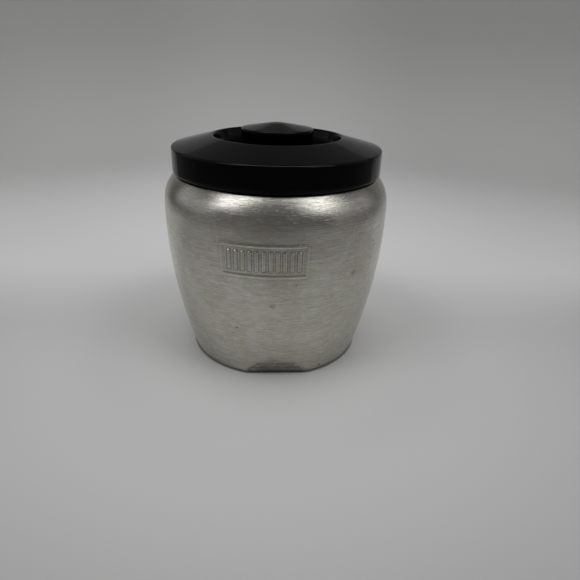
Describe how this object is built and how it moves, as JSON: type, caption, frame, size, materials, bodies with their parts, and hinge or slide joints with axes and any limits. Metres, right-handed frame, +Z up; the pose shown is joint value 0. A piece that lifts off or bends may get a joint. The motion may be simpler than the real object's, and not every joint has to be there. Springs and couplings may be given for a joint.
{
  "type": "grease container",
  "caption": "Barrel-shaped spun aluminium jar with a raised front panel, a hanging drip strainer and a black push-on lid with a round knob in a finger well.",
  "frame": {"origin": "on the jar's axis, on the surface that the foot stands on", "axes": "+Z up along the jar's axis; the raised panel faces -Y"},
  "size_m": [0.1206, 0.1211, 0.125],
  "materials": {
    "spun_aluminium": "satin spun, streaked and worn",
    "strainer_aluminium": "plain pressed",
    "black_plastic": "glossy",
    "knob_plastic": "glossy",
    "plated_steel": "plated, dulled"
  },
  "bodies": {
    "jar": {"jar_body": "spun_aluminium"},
    "strainer": {"drip_strainer": "strainer_aluminium"},
    "lid": {"lid_shell": "black_plastic", "lid_knob": "knob_plastic", "knob_screw": "plated_steel", "screw_washer": "plated_steel"}
  },
  "joints": [
    {"name": "strainer_lift", "type": "slide", "parent": "jar", "child": "strainer", "axis": [0, 0, 1], "range_m": [0, 0.06]},
    {"name": "lid_lift", "type": "slide", "parent": "strainer", "child": "lid", "axis": [0, 0, 1], "range_m": [0, 0.05]}
  ]
}
